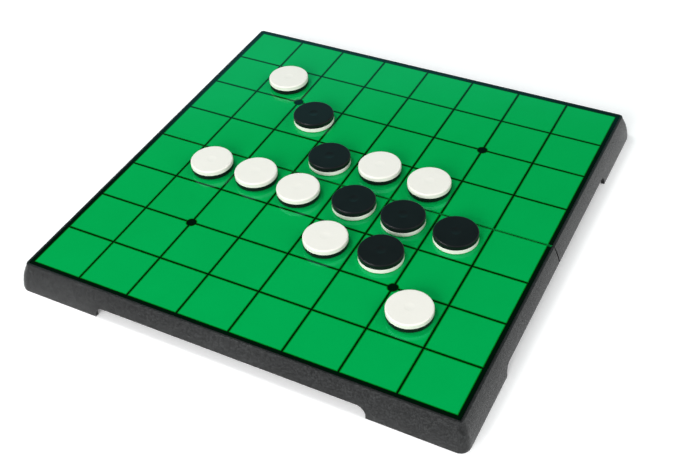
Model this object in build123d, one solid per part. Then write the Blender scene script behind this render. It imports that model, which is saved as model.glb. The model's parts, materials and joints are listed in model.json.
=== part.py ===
from build123d import *
import os

os.makedirs("parts", exist_ok=True)

# A folding magnetic reversi board with two-coloured discs on it, in millimetres.
# X runs along the fold, +Y to the rear half, +Z up. The origin is on the table,
# under the middle of the fold.

# Board
squares = 8                 # squares along each side
cell = 29.4                 # side of one square
border = 3.0                # from the outer squares to the top edge of the walls
board_height = 15.7         # table to playing surface
fold_gap = 0.5              # slit between the two halves

# Side walls, which bulge outward on the way down
wall = 2.0                  # wall thickness
flare = 4.4                 # how far the foot stands out from the top edge
bulge = 0.89                # 0 is a straight slope, 1 ends upright at the foot
top_corner = 1.8            # plan radius of the corner at the top
foot_corner = 5.1           # plan radius of the corner at the foot
corner_growth = 0.4         # power by which that radius grows with depth
edge_round = 0.4            # round-over of the top edge
seam_round = 0.25           # round-over of the outside edges at the fold
levels = [0, 0.08, 0.25, 0.5, 0.75, 1]   # depths of the wall's sections, as shares

# Cut-outs that leave a foot at each corner
foot_length = 49.2          # foot along the wall, from the outside corner
cut_out_height = 6.4
cut_out_radius = 4.8        # of the cut-out's upper corners

# Deck, sheet and printed film
rim_width = 1.3             # plastic rim that shows round the film
steel_thickness = 0.4
film_thickness = 0.2
sheet_fit = 0.1             # clearance round the sheets
sheet_corner = 0.8
deck = 2.0                  # plastic under the sheets

# Storage tray under each half
fold_wall = 2.0
tray_wall = 1.6
tray_inset = 10.0           # outside of the foot to outside of the tray wall
tray_fold_inset = 8.5       # fold to outside of the tray wall
tray_corner = 6.0
table_gap = 0.3             # tray walls stay this far above the table

# Fold hinge: links with two pins, so that the closed halves meet at the feet
pin_spacing = 6.0           # between the rear pin and the front pin
closed_gap = 0.2            # between the feet of the closed halves
pin_radius = 1.0
knuckle_radius = 2.6
link_length = 14.0
link_side_gap = 0.3
ear_length = 5.0
hinge_offset = 80.0         # fold's middle to the middle of a link
pin_hold = 0.02             # radial clearance of a pin held in an ear
pin_run = 0.06              # radial clearance of a pin that turns in a link

# Magnets that hold the closed case shut
catch_radius = 3.0
catch_length = 3.0
catch_fit = 0.1
catch_wall = 1.4            # plastic round the magnet
catch_offset = 96.0         # board's middle to the magnet, along the fold
catch_recess = 0.2          # magnet's face above the boss's face

# Discs
disc_radius = 11.8
disc_height = 5.6
disc_edge = 0.8             # round-over of the outer edge
disc_seam = 0.12            # chamfer where the two halves meet
dimple_radius = 2.75
dimple_depth = 0.12
magnet_radius = 4.0
magnet_height = 2.0
magnet_fit = 0.1
spigot_radius = 7.9
spigot_wall = 1.4
spigot_height = 0.7
spigot_fit = 0.1

# Discs on the board: square from the left, square from the back, how far the disc
# stands off the middle of its square to the right and to the back, colour on top
discs = [
    (1, 1, 0.0, -0.1, "white"),
    (2, 2, 2.8, 1.9, "black"),
    (3, 3, 0.2, 0.0, "black"),
    (4, 3, 0.0, 3.8, "white"),
    (5, 3, 0.9, 1.9, "white"),
    (1, 4, 0.0, 0.4, "white"),
    (2, 4, -1.4, 1.5, "white"),
    (3, 4, -2.8, -1.2, "white"),
    (4, 4, -0.2, 1.9, "black"),
    (5, 4, -0.6, 1.2, "black"),
    (6, 4, -0.2, 0.3, "black"),
    (4, 5, -0.6, -0.2, "white"),
    (5, 5, 0.4, 1.8, "black"),
    (6, 6, 0.3, 1.5, "white"),
]

# Worked out from the sizes above
half_top = squares * cell / 2 + border
half_foot = half_top + flare
recess_depth = steel_thickness + film_thickness
deck_underside = board_height - recess_depth - deck
pin_y = pin_spacing / 2
pin_z = pin_y - closed_gap / 2
catch_y = half_foot - (tray_inset + wall) / 2   # midway between side wall and tray wall
half_board = half_foot * 2  # larger than either half, for cutting
overcut = 1.0               # how far a cutter runs past what it cuts
from_base = (Align.CENTER, Align.CENTER, Align.MIN)


def wall_half_width(z, inset):
    """Half the plan width of the wall's surface at height z, drawn in by inset."""
    depth = (board_height - z) / board_height
    return half_top + flare * ((1 + bulge) * depth - bulge * depth**2) - inset


def wall_corner(z, inset):
    """Plan radius of the corner at height z, for the surface drawn in by inset."""
    depth = (board_height - z) / board_height
    radius = top_corner + (foot_corner - top_corner) * depth**corner_growth
    return max(radius - inset, top_corner / 2)


def wall_block(bottom, top, inset):
    """Solid inside the bulging wall surface between two heights."""
    sections = []
    for share in levels:
        z = top - share * (top - bottom)
        width = 2 * wall_half_width(z, inset)
        sections.append(Pos(0, 0, z) * RectangleRounded(width, width, wall_corner(z, inset)))
    return loft(sections)


def slab(x_half, y_low, y_high, z_low, z_high):
    """Box centred on X between two Y and two Z values."""
    block = Box(2 * x_half, y_high - y_low, z_high - z_low)
    return Pos(0, (y_low + y_high) / 2, (z_low + z_high) / 2) * block


def x_rod(radius, length, x, y, z):
    """Cylinder along X, centred at x."""
    return Pos(x, y, z) * Rot(0, 90, 0) * Cylinder(radius, length)


def case_walls():
    """Deck and side walls of both halves together, with the cut-outs between the feet."""
    body = wall_block(0, board_height, 0)
    top_edges = body.edges().group_by(Axis.Z)[-1]
    body = fillet(top_edges, edge_round)
    body -= wall_block(-overcut, deck_underside, wall)
    cut_out_width = 2 * (half_foot - foot_length)
    opening = Plane.XZ * RectangleRounded(cut_out_width, 2 * cut_out_height, cut_out_radius)
    through = extrude(opening, half_board, both=True)
    keep = slab(
        half_foot - tray_inset + tray_wall,
        -half_foot + tray_inset - tray_wall,
        half_foot - tray_inset + tray_wall,
        -half_board,
        half_board,
    )
    body -= through - keep
    body -= Rot(0, 0, 90) * through - keep
    return body


def tray_ring():
    """Wall round the storage tray of the rear half, down to just above the table."""
    outer_x = half_foot - tray_inset
    outer_y = outer_x - tray_fold_inset
    centre_y = tray_fold_inset + outer_y / 2
    inner_x = outer_x - tray_wall
    inner_y = outer_y - 2 * tray_wall
    ring = RectangleRounded(2 * outer_x, outer_y, tray_corner)
    ring -= RectangleRounded(2 * inner_x, inner_y, tray_corner - tray_wall)
    return Pos(0, centre_y, table_gap) * extrude(ring, deck_underside - table_gap)


def hinge_ears(x):
    """Pair of ears that hold the rear pin at each end of one link, without the bore."""
    ears = []
    web = Box(ear_length, 2 * knuckle_radius, deck_underside - pin_z, align=from_base)
    for side in (-1, 1):
        middle = x + side * (link_length / 2 + link_side_gap + ear_length / 2)
        ear = x_rod(knuckle_radius, ear_length, middle, pin_y, pin_z)
        ears.append(ear + Pos(middle, pin_y, pin_z) * web)
    return ears


def pin_length():
    """Length of a hinge pin, over both ears."""
    return link_length + 2 * link_side_gap + 2 * ear_length


def behind_fold(gap):
    """Everything at least a gap behind the middle of the fold."""
    return slab(half_board, gap, half_board, -half_board, half_board)


def seam_edges(half):
    """Outside edges along the fold: up the side walls, over the rim and across the top."""
    edges = []
    for edge in half.edges().group_by(Axis.Y)[0]:
        middle = edge @ 0.5
        on_top = middle.Z > board_height - edge_round
        on_wall = abs(middle.X) > wall_half_width(middle.Z, wall / 4)
        if on_top or on_wall:
            edges.append(edge)
    return edges


def rear_shell():
    """Moulded case half: deck, bulging walls, fold wall, tray wall, ears and catch bosses."""
    shell = case_walls() & behind_fold(fold_gap / 2)
    shell = fillet(seam_edges(shell), seam_round)
    core = wall_block(0, board_height, wall / 2)
    seam = slab(half_top, fold_gap / 2, fold_gap / 2 + fold_wall, cut_out_height, deck_underside)
    shell += seam & core
    shell += tray_ring()
    for x in (-hinge_offset, hinge_offset):
        for ear in hinge_ears(x):
            shell += ear
    pocket_radius = catch_radius + catch_fit
    pocket_depth = catch_recess + catch_length
    boss = Cylinder(pocket_radius + catch_wall, deck_underside - table_gap, align=from_base)
    pocket = Cylinder(pocket_radius, pocket_depth + overcut, align=from_base)
    for x in (-catch_offset, catch_offset):
        shell += Pos(x, catch_y, table_gap) * boss & core
        shell -= Pos(x, catch_y, table_gap - overcut) * pocket
    recess_width = 2 * (half_top - rim_width)
    recess = RectangleRounded(recess_width, recess_width, sheet_corner)
    recess_floor = board_height - recess_depth
    shell -= Pos(0, 0, recess_floor) * extrude(recess, recess_depth + overcut)
    for x in (-hinge_offset, hinge_offset):
        shell -= x_rod(pin_radius + pin_hold, pin_length() + 2 * overcut, x, pin_y, pin_z)
    return shell


def top_sheet(bottom, thickness):
    """Sheet that lies in the rear half's recess and ends at the fold."""
    width = 2 * (half_top - rim_width - sheet_fit)
    sheet = extrude(RectangleRounded(width, width, sheet_corner), thickness)
    return Pos(0, 0, bottom) * sheet & behind_fold(fold_gap / 2 + sheet_fit)


def hinge_link(x):
    """Double-ended knuckle that joins the rear pin to the front pin."""
    outline = Plane.YZ * Pos(0, pin_z) * SlotCenterToCenter(pin_spacing, 2 * knuckle_radius)
    link = Pos(x, 0, 0) * extrude(outline, link_length / 2, both=True)
    for y in (-pin_y, pin_y):
        link -= x_rod(pin_radius + pin_run, link_length + 2 * overcut, x, y, pin_z)
    return link


def rear_pins():
    """The rear pins of both links, one solid each."""
    return [x_rod(pin_radius, pin_length(), x, pin_y, pin_z) for x in (-hinge_offset, hinge_offset)]


def catch_magnets():
    """The two catch magnets of the rear half."""
    base = table_gap + catch_recess
    magnet = Cylinder(catch_radius, catch_length, align=from_base)
    return [Pos(x, catch_y, base) * magnet for x in (-catch_offset, catch_offset)]


def mirrored(shape):
    """The same piece on the front half."""
    return mirror(shape, Plane.XZ)


def disc_half(spigot):
    """One colour of a disc, its flat inner face at z = 0 and its outer face up."""
    height = disc_height / 2
    body = Cylinder(disc_radius, height, align=from_base)
    rims = body.edges().filter_by(GeomType.CIRCLE).sort_by(Axis.Z)
    body = fillet(rims[-1], disc_edge)
    rims = body.edges().filter_by(GeomType.CIRCLE).sort_by(Axis.Z)
    body = chamfer(rims[0], disc_seam)
    ball = (dimple_radius**2 + dimple_depth**2) / (2 * dimple_depth)
    body -= Pos(0, 0, height - dimple_depth + ball) * Sphere(ball)
    body -= Cylinder(magnet_radius + magnet_fit, magnet_height + 2 * magnet_fit)
    spigot_bore = spigot_radius - spigot_wall
    if spigot:
        ring = Cylinder(spigot_radius, 2 * spigot_height)
        ring -= Cylinder(spigot_bore, 2 * spigot_height)
        return body + ring
    depth = 2 * (spigot_height + spigot_fit)
    groove = Cylinder(spigot_radius + spigot_fit, depth)
    groove -= Cylinder(spigot_bore - spigot_fit, depth)
    return body - groove


def disc_place(disc):
    """Middle of a disc, halfway up its thickness."""
    column, row, right, back, _ = disc
    x = (column - (squares - 1) / 2) * cell + right
    y = ((squares - 1) / 2 - row) * cell + back
    return Pos(x, y, board_height + disc_height / 2)


def write(name, shape):
    """One STEP file for one node."""
    export_step(shape, f"parts/{name}.step")


def write_halves():
    shell = rear_shell()
    steel = top_sheet(board_height - recess_depth, steel_thickness)
    film = top_sheet(board_height - film_thickness, film_thickness)
    pins = rear_pins()
    magnets = catch_magnets()
    write("rear_shell", shell)
    write("front_shell", mirrored(shell))
    write("rear_steel_sheet", steel)
    write("front_steel_sheet", mirrored(steel))
    write("rear_playing_film", film)
    write("front_playing_film", mirrored(film))
    write("rear_hinge_pins", Compound(children=pins))
    write("front_hinge_pins", Compound(children=[mirrored(pin) for pin in pins]))
    write("rear_catch_magnets", Compound(children=magnets))
    write("front_catch_magnets", Compound(children=[mirrored(magnet) for magnet in magnets]))
    write("left_hinge_link", hinge_link(-hinge_offset))
    write("right_hinge_link", hinge_link(hinge_offset))


def write_discs():
    plain = {"black": disc_half(False), "white": disc_half(True)}
    turned = {colour: Rot(180, 0, 0) * half for colour, half in plain.items()}
    magnet = Cylinder(magnet_radius, magnet_height)
    for number, disc in enumerate(discs, 1):
        place = disc_place(disc)
        name = f"disc_{number:02d}"
        top = disc[4]
        bottom = "white" if top == "black" else "black"
        write(f"{name}_{top}_half", place * plain[top])
        write(f"{name}_{bottom}_half", place * turned[bottom])
        write(f"{name}_magnet", place * magnet)


write_halves()
write_discs()
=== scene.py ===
import json
from math import cos, radians

import bpy
from mathutils import Matrix, Vector


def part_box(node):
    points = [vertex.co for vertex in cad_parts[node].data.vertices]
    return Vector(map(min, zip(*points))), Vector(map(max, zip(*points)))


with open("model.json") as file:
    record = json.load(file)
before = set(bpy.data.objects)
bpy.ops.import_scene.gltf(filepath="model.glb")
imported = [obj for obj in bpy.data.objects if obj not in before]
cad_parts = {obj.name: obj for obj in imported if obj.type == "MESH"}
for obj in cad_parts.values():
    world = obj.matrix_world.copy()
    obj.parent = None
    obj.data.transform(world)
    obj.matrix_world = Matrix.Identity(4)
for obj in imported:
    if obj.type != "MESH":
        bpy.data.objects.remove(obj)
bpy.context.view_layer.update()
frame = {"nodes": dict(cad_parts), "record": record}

# Places in metres
film_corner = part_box("rear_playing_film")[1]
film_edge = film_corner.x
surface_z = film_corner.z

# Print on the film, in metres
printed_border = 0.0016      # outer squares to the film's edge
half_squares = 4             # squares from the board's middle to its edge
cell = (film_edge - printed_border) / half_squares
line_half_width = 0.00045
star_radius = 0.00275
star_squares = 2             # a star dot's squares from the board's middle
print_blur = 0.00015         # softness of a printed edge
halo_width = 0.00040         # how far the paler edge of a printed shape reaches beyond it
halo_blur = 0.00030
worn_width = 0.00062         # from the fold to where its printed line is sound
worn_ends = (-0.18, 0.10)    # along the fold, where that line would be whole and where it is worn most
worn_share = (0.5, 1.0)      # how much of it is gone there, from patch to patch

film_dark = (0.0001, 0.352, 0.068)
film_light = (0.0002, 0.386, 0.079)
halo_colour = (0.0001, 0.165, 0.0010)
ink_colour = (0.0001, 0.0040, 0.0004)
film_shine = 0.5
film_shine_tint = (0.02, 1.0, 1.0, 1.0)
film_roughness = (0.08, 0.13)
film_peel = 0.000012         # height of the film's unevenness

# Black plastic of the shells and the links, sizes in metres
black_shine = 0.24
shell_dark = (0.006, 0.0062, 0.0064)
shell_light = (0.0345, 0.0358, 0.0363)
shell_roughness = 0.25
shell_grain = 0.00011        # height of the grain
link_dark = (0.006, 0.006, 0.007)
link_light = (0.014, 0.014, 0.015)
link_roughness = 0.4
link_grain = 0.00002
fine_grain_share = 0.25      # the finest grain's height, as a share of the coarser ones'
mottle_band = (0.40, 0.68)   # noise values between which the fine mottle turns from dark to light
cloud_band = (0.3, 0.7)      # and the broad cloud
mottle_share = 0.8           # mottle's share of the colour's change, the rest is cloud
dark_roughness = 0.09        # added to the roughness where the plastic is dark
light_roughness = -0.07      # and where it is light
lit_edge_height = 0.0012      # of the top edge, which is painted lighter: painted light
lit_edge_gain = 1.5           # how much lighter the painted light on the top edge makes the plastic
lit_edge_share = 0.10         # how much of it shows
rim_shade_reach = 0.00035      # width of the strip of the rim beside the film that is painted dark, painted shade of the gap
rim_shade_blur = 0.0004
rim_shade_depth = 0.0010       # how far down that strip goes
seam_shade_width = 0.0008           # from the fold to where the painted shade of the seam ends
seam_shade_full = 0.75        # share of the board's height up to which the painted shade of the seam is full
seam_shade_end = 0.95         # and where it ends
# colour of the painted shade in the seam and on the rim strip beside the film
painted_shade_colour = (0.0005, 0.0005, 0.0005)

# Plastic of the discs
disc_black_dark = (0.0045, 0.0060, 0.0066)
disc_black_light = (0.0060, 0.0076, 0.0084)
disc_white_dark = (0.85, 0.825, 0.755)
disc_white_light = (0.875, 0.85, 0.785)
disc_black_shine = 0.3
disc_white_shine = 0.5
disc_roughness = (0.26, 0.34)
disc_grain = 0.000003        # height of the grain, in metres

# Metals
rolled_steel = (0.56, 0.57, 0.58)
drawn_steel = (0.62, 0.62, 0.64)
ferrite = (0.10, 0.10, 0.11)
streak_shade = 0.75          # share of the colour that is left in the dark streaks
streak_roughness = 0.1       # how far the streaks take the roughness up and down

# The camera that took the photo, in metres
photo_eye = Vector((0.21766, -0.37954, 0.38142))
photo_target = Vector((0.01912, -0.03762, surface_z))
photo_roll = radians(-4.26)
photo_lens = 55.34           # millimetres
sensor_width = 36.0          # millimetres

# Floor, in metres
floor_half_side = 4.0
near_floor = 0.3             # from the board's middle to where the floor starts to turn plain white
far_floor = 0.9              # and to where it is plain white
slit_shade = 0.004           # from the fold to where the floor is out of the slit's shade
slit_end = 0.118             # from the board's middle to where that shade ends
floor_glow = 0.20            # white added to the floor where the camera or a reflection sees it
paper_dark = (0.965, 0.965, 0.965)
paper_light = (0.985, 0.985, 0.985)
paper_roughness = 0.9
paper_shine = 0.1

# Sky: a pale tent with three patches, each given by a direction and two angles in degrees
white = (1.0, 1.0, 1.0)
tent_colour = (0.64, 0.65, 0.66)
dim_colour = (0.04, 0.055, 0.045)
dim_place = (Vector((-0.37, 0.63, 0.75)), 24, 62)
window_colour = (0.13, 0.52, 0.51)
window_place = (Vector((-0.50, 0.80, 0.30)), 22, 36)
window_top = (0.56, 0.60)    # heights in the sky between which the window ends
opening_colour = (0.12, 0.12, 0.12)
opening_place = (Vector((0.45, -0.78, 0.35)), 14, 44)

# Lamps, in metres and watts
key_place = Vector((-0.46, 0.03, 1.00))
key_width = 0.25
key_power = 3.4
front_fill_place = Vector((-0.10, -1.50, 0.62))
front_fill_power = 23.5
side_fill_place = Vector((1.36, 0.25, 0.80))
side_fill_power = 6.5
fill_width = 0.9


def node(tree, kind, **settings):
    """New shader node, with properties set by name."""
    made = tree.nodes.new(kind)
    for key, value in settings.items():
        setattr(made, key, value)
    return made


def math(tree, operation, first, second=None):
    """Output of a Math node. An operand is a number or another node's output."""
    made = node(tree, "ShaderNodeMath", operation=operation)
    for index, operand in enumerate((first, second)):
        if isinstance(operand, (int, float)):
            made.inputs[index].default_value = operand
        elif operand is not None:
            tree.links.new(operand, made.inputs[index])
    return made.outputs[0]


def multiplied(tree, first, second):
    """Product of two values."""
    return math(tree, "MULTIPLY", first, second)


def larger(tree, first, second):
    """The larger of two values."""
    return math(tree, "MAXIMUM", first, second)


def unsigned(tree, value):
    """A value without its sign."""
    return math(tree, "ABSOLUTE", value)


def flipped(tree, value):
    """1 minus a value."""
    return math(tree, "SUBTRACT", 1.0, value)


def fade(tree, value, low, high):
    """0 where value is under low, 1 where it is over high, smooth between."""
    made = node(tree, "ShaderNodeMapRange", interpolation_type="SMOOTHSTEP")
    tree.links.new(value, made.inputs["Value"])
    made.inputs["From Min"].default_value = low
    made.inputs["From Max"].default_value = high
    return made.outputs["Result"]


def fade_at(tree, value, edge, blur):
    """0 under an edge and 1 over it, smooth across blur on either side."""
    return fade(tree, value, edge - blur, edge + blur)


def ranged(tree, value, low, high):
    """A value from 0 to 1 spread from low to high."""
    made = node(tree, "ShaderNodeMapRange")
    tree.links.new(value, made.inputs["Value"])
    made.inputs["To Min"].default_value = low
    made.inputs["To Max"].default_value = high
    return made.outputs["Result"]


def mix_colour(tree, factor, first, second):
    """Output of a colour Mix node. A colour is three numbers or another node's output."""
    made = node(tree, "ShaderNodeMix", data_type="RGBA")
    tree.links.new(factor, made.inputs["Factor"])
    for socket, colour in ((made.inputs[6], first), (made.inputs[7], second)):
        if isinstance(colour, tuple):
            socket.default_value = (*colour, 1)
        else:
            tree.links.new(colour, socket)
    return made.outputs[2]


def noise(tree, position, scale, detail, roughness=0.5):
    """Noise value at a position in metres, with scale in cycles per metre."""
    made = node(tree, "ShaderNodeTexNoise")
    tree.links.new(position, made.inputs["Vector"])
    made.inputs["Scale"].default_value = scale
    made.inputs["Detail"].default_value = detail
    made.inputs["Roughness"].default_value = roughness
    return made.outputs["Fac"]


def bump(tree, height, distance, below=None):
    """Normal from a height between 0 and 1, over another bump's normal if there is one."""
    made = node(tree, "ShaderNodeBump")
    made.inputs["Distance"].default_value = distance
    made.inputs["Strength"].default_value = 1.0
    tree.links.new(height, made.inputs["Height"])
    if below is not None:
        tree.links.new(below, made.inputs["Normal"])
    return made.outputs["Normal"]


def axes_of(tree, position):
    """X, Y and Z of a position."""
    made = node(tree, "ShaderNodeSeparateXYZ")
    tree.links.new(position, made.inputs[0])
    return made.outputs


def material(name):
    """New material, its node tree, its Principled shader and its object coordinates in metres."""
    made = bpy.data.materials.new(name)
    made.use_nodes = True
    tree = made.node_tree
    shader = tree.nodes["Principled BSDF"]
    position = node(tree, "ShaderNodeTexCoord").outputs["Object"]
    return made, tree, shader, position


def shaded_rim_strip(tree, place):
    """1 on the strip of the rim beside the film, where shade of the gap at the film's edge is painted."""
    from_middle = larger(tree, unsigned(tree, place["X"]), unsigned(tree, place["Y"]))
    beside_film = flipped(tree, fade_at(tree, from_middle, film_edge + rim_shade_reach, rim_shade_blur))
    on_top = fade(tree, place["Z"], surface_z - rim_shade_depth, surface_z - rim_shade_depth / 2)
    return multiplied(tree, beside_film, on_top)


def shaded_seam(tree, place):
    """1 on the walls close to the fold, except near their top edge, where shade is painted into the seam.
    """
    beside_fold = flipped(tree, fade(tree, unsigned(tree, place["Y"]), seam_shade_width / 3, seam_shade_width))
    low_down = flipped(tree, fade(tree, place["Z"], seam_shade_full * surface_z, seam_shade_end * surface_z))
    return multiplied(tree, beside_fold, low_down)


def black_plastic(name, dark, light, roughness, grain_height):
    """Black moulded plastic with a leathery grain, a faint mottle, painted light on the top edge, and
    painted shade in the seam and on the rim beside the film.
    """
    made, tree, shader, position = material(name)
    place = axes_of(tree, position)
    mottle = fade(tree, noise(tree, position, scale=900, detail=4, roughness=0.7), *mottle_band)
    cloud = fade(tree, noise(tree, position, scale=28, detail=3), *cloud_band)
    fine_part = multiplied(tree, mottle, mottle_share)
    shade = math(tree, "ADD", fine_part, multiplied(tree, cloud, 1 - mottle_share))
    colour = mix_colour(tree, shade, dark, light)
    # painted light: the top edge of the shells is painted lighter, as if the light fell on it
    worn = tuple(lit_edge_gain * part for part in light)
    lit_top_edge = fade(tree, place["Z"], surface_z - lit_edge_height, surface_z - lit_edge_height / 4)
    colour = mix_colour(tree, multiplied(tree, lit_top_edge, lit_edge_share), colour, worn)
    seam = shaded_seam(tree, place)
    # painted shade: the seam and the rim strip beside the film are painted dark
    painted_shade = larger(tree, seam, shaded_rim_strip(tree, place))
    tree.links.new(mix_colour(tree, painted_shade, colour, painted_shade_colour), shader.inputs["Base Color"])
    rough = ranged(tree, shade, roughness + dark_roughness, roughness + light_roughness)
    tree.links.new(larger(tree, rough, seam), shader.inputs["Roughness"])
    normal = bump(tree, noise(tree, position, scale=3200, detail=2), fine_grain_share * grain_height)
    normal = bump(tree, noise(tree, position, scale=1100, detail=3, roughness=0.6), grain_height, normal)
    normal = bump(tree, noise(tree, position, scale=90, detail=1), grain_height, normal)
    tree.links.new(normal, shader.inputs["Normal"])
    shader.inputs["Specular IOR Level"].default_value = black_shine
    return made


def disc_plastic(name, dark, light, shine):
    """Satin moulded plastic of one side of a disc."""
    made, tree, shader, position = material(name)
    cloud = noise(tree, position, scale=130, detail=2)
    grain = noise(tree, position, scale=3000, detail=1)
    tree.links.new(mix_colour(tree, cloud, dark, light), shader.inputs["Base Color"])
    tree.links.new(ranged(tree, cloud, *disc_roughness), shader.inputs["Roughness"])
    tree.links.new(bump(tree, grain, disc_grain), shader.inputs["Normal"])
    shader.inputs["Specular IOR Level"].default_value = shine
    return made


def metal(name, colour, roughness, scale):
    """Bare metal with a drawn or rolled finish, its streaks at scale cycles per metre."""
    made, tree, shader, position = material(name)
    streak = noise(tree, position, scale, detail=4)
    darker = tuple(streak_shade * part for part in colour)
    rough = ranged(tree, streak, roughness - streak_roughness, roughness + streak_roughness)
    tree.links.new(mix_colour(tree, streak, darker, colour), shader.inputs["Base Color"])
    tree.links.new(rough, shader.inputs["Roughness"])
    shader.inputs["Metallic"].default_value = 1.0
    return made


def printed_shapes(tree, place, extra, blur):
    """1 on the lines, the border and the star dots, each wider by extra on every side."""
    shapes = 0.0
    squared_offsets = []
    for axis in ("X", "Y"):
        squares_out = math(tree, "DIVIDE", place[axis], cell)
        to_line = multiplied(tree, math(tree, "PINGPONG", squares_out, 0.5), cell)
        on_line = flipped(tree, fade_at(tree, to_line, line_half_width + extra, blur))
        shapes = larger(tree, shapes, on_line)
        distance = unsigned(tree, place[axis])
        shapes = larger(tree, shapes, fade_at(tree, distance, half_squares * cell - extra, blur))
        from_star = math(tree, "SUBTRACT", distance, star_squares * cell)
        squared_offsets.append(multiplied(tree, from_star, from_star))
    to_star = math(tree, "SQRT", math(tree, "ADD", *squared_offsets))
    on_star = flipped(tree, fade_at(tree, to_star, star_radius + extra, blur))
    return larger(tree, shapes, on_star)


def sound_print(tree, position, place):
    """1 where the print is whole, less where it is worn away beside the fold."""
    worn = flipped(tree, fade_at(tree, unsigned(tree, place["Y"]), worn_width, print_blur))
    worn = multiplied(tree, worn, fade(tree, place["X"], *worn_ends))
    patches = ranged(tree, noise(tree, position, scale=300, detail=2), *worn_share)
    return flipped(tree, multiplied(tree, worn, patches))


def printed_film():
    """Green film printed with black squares, star dots and border."""
    made, tree, shader, position = material("printed_film")
    place = axes_of(tree, position)
    sound = sound_print(tree, position, place)
    colour = mix_colour(tree, noise(tree, position, scale=40, detail=3), film_dark, film_light)
    halo = multiplied(tree, printed_shapes(tree, place, halo_width, halo_blur), sound)
    colour = mix_colour(tree, halo, colour, halo_colour)
    ink = multiplied(tree, printed_shapes(tree, place, 0.0, print_blur), sound)
    colour = mix_colour(tree, ink, colour, ink_colour)
    tree.links.new(colour, shader.inputs["Base Color"])
    peel = noise(tree, position, scale=180, detail=1)
    tree.links.new(ranged(tree, peel, *film_roughness), shader.inputs["Roughness"])
    tree.links.new(bump(tree, peel, film_peel), shader.inputs["Normal"])
    shader.inputs["Specular IOR Level"].default_value = film_shine
    shader.inputs["Specular Tint"].default_value = film_shine_tint
    return made


def paint(name, finish):
    """Gives a CAD node its material."""
    piece = frame["nodes"][name]
    piece.data.materials.clear()
    piece.data.materials.append(finish)


def dress_nodes():
    """Every CAD node gets the finish of its slot in the record."""
    shell_plastic = black_plastic("shell_plastic", shell_dark, shell_light, shell_roughness, shell_grain)
    link_plastic = black_plastic("link_plastic", link_dark, link_light, link_roughness, link_grain)
    finishes = {
        "shell_plastic": shell_plastic,
        "link_plastic": link_plastic,
        "playing_film": printed_film(),
        "steel_sheet": metal("rolled_steel", rolled_steel, roughness=0.35, scale=300),
        "pin_steel": metal("drawn_steel", drawn_steel, roughness=0.25, scale=900),
        "magnet": metal("ferrite", ferrite, roughness=0.55, scale=1500),
        "disc_black": disc_plastic("disc_black", disc_black_dark, disc_black_light, disc_black_shine),
        "disc_white": disc_plastic("disc_white", disc_white_dark, disc_white_light, disc_white_shine),
    }
    for part in frame["record"]["subparts"]:
        paint(part["node"], finishes[part["material_slot"]])


def floor_paper():
    """Pale paper that glows a little and turns plain white far out, but lights nothing by that."""
    made, tree, shader, position = material("floor_paper")
    fibre = noise(tree, position, scale=60, detail=2)
    tree.links.new(mix_colour(tree, fibre, paper_dark, paper_light), shader.inputs["Base Color"])
    shader.inputs["Roughness"].default_value = paper_roughness
    shader.inputs["Specular IOR Level"].default_value = paper_shine

    rays = node(tree, "ShaderNodeLightPath").outputs
    seen = larger(tree, rays["Is Camera Ray"], rays["Is Glossy Ray"])
    seen = larger(tree, seen, rays["Is Transmission Ray"])

    place = axes_of(tree, position)
    beside_slit = fade(tree, unsigned(tree, place["Y"]), slit_shade / 2, slit_shade)
    beyond_slit = fade(tree, unsigned(tree, place["X"]), slit_end - slit_shade, slit_end)
    glow = multiplied(tree, larger(tree, beside_slit, beyond_slit), floor_glow)
    added = node(tree, "ShaderNodeEmission")
    tree.links.new(multiplied(tree, seen, glow), added.inputs["Strength"])
    glowing = node(tree, "ShaderNodeAddShader")
    tree.links.new(shader.outputs[0], glowing.inputs[0])
    tree.links.new(added.outputs[0], glowing.inputs[1])

    reach = node(tree, "ShaderNodeVectorMath", operation="LENGTH")
    tree.links.new(position, reach.inputs[0])
    far = multiplied(tree, seen, fade(tree, reach.outputs["Value"], near_floor, far_floor))
    plain = node(tree, "ShaderNodeEmission")
    blend = node(tree, "ShaderNodeMixShader")
    tree.links.new(far, blend.inputs[0])
    tree.links.new(glowing.outputs[0], blend.inputs[1])
    tree.links.new(plain.outputs[0], blend.inputs[2])
    tree.links.new(blend.outputs[0], tree.nodes["Material Output"].inputs["Surface"])
    return made


def add_floor():
    """Pale floor that stays white in the open and keeps the board's shadow."""
    half = floor_half_side
    corners = [(-half, -half, 0), (half, -half, 0), (half, half, 0), (-half, half, 0)]
    mesh = bpy.data.meshes.new("floor")
    mesh.from_pydata(corners, [], [(0, 1, 2, 3)])
    mesh.materials.append(floor_paper())
    floor = bpy.data.objects.new("floor", mesh)
    bpy.context.scene.collection.objects.link(floor)


def patch(tree, direction, towards, inner, outer):
    """1 within an angle of a direction in the sky and 0 beyond a wider one, in degrees."""
    made = node(tree, "ShaderNodeVectorMath", operation="DOT_PRODUCT")
    tree.links.new(direction, made.inputs[0])
    made.inputs[1].default_value = towards.normalized()
    return fade(tree, made.outputs["Value"], cos(radians(outer)), cos(radians(inner)))


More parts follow.
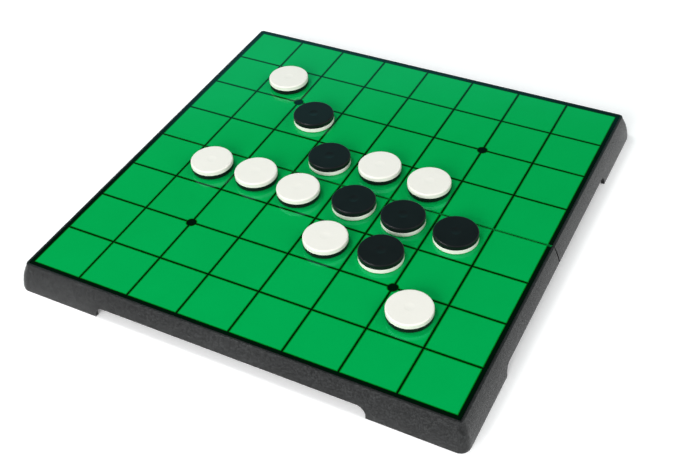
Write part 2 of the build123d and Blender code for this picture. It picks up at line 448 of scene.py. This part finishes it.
def add_world():
    """Tent with patches that the glossy top reflects, and plain white where the camera sees it."""
    world = bpy.data.worlds.new("studio")
    bpy.context.scene.world = world
    world.use_nodes = True
    tree = world.node_tree
    background = tree.nodes["Background"]
    direction = node(tree, "ShaderNodeTexCoord").outputs["Generated"]
    sky = mix_colour(tree, patch(tree, direction, *dim_place), tent_colour, dim_colour)
    under_top = flipped(tree, fade(tree, axes_of(tree, direction)["Z"], *window_top))
    window = multiplied(tree, under_top, patch(tree, direction, *window_place))
    sky = mix_colour(tree, window, sky, window_colour)
    sky = mix_colour(tree, patch(tree, direction, *opening_place), sky, opening_colour)
    seen = node(tree, "ShaderNodeLightPath").outputs["Is Camera Ray"]
    tree.links.new(mix_colour(tree, seen, sky, white), background.inputs["Color"])
    background.inputs["Strength"].default_value = 1.0


def add_area_light(name, place, width, power, mirrored):
    """Soft square lamp that faces the board's middle, and shows in glossy surfaces if mirrored."""
    lamp = bpy.data.lights.new(name, "AREA")
    lamp.shape = "SQUARE"
    lamp.size = width
    lamp.energy = power
    holder = bpy.data.objects.new(name, lamp)
    holder.location = place
    holder.rotation_euler = (-place).to_track_quat("-Z", "Y").to_euler()
    holder.visible_glossy = mirrored
    bpy.context.scene.collection.objects.link(holder)


def add_lights():
    """Small key over the left, and wide fills before the front and right walls."""
    add_area_light("key", key_place, key_width, key_power, mirrored=True)
    add_area_light("front_fill", front_fill_place, fill_width, front_fill_power, mirrored=False)
    add_area_light("side_fill", side_fill_place, fill_width, side_fill_power, mirrored=False)


def add_camera():
    """Camera at the photo's place, tilted as it was."""
    lens = bpy.data.cameras.new("photo_camera")
    lens.lens = photo_lens
    lens.sensor_width = sensor_width
    camera = bpy.data.objects.new("photo_camera", lens)
    aim = (photo_target - photo_eye).to_track_quat("-Z", "Y").to_matrix().to_4x4()
    camera.matrix_world = Matrix.Translation(photo_eye) @ aim @ Matrix.Rotation(photo_roll, 4, "Z")
    bpy.context.scene.collection.objects.link(camera)
    bpy.context.scene.camera = camera


add_camera()
dress_nodes()
add_floor()
add_world()
add_lights()
bpy.context.scene.view_settings.view_transform = "Standard"
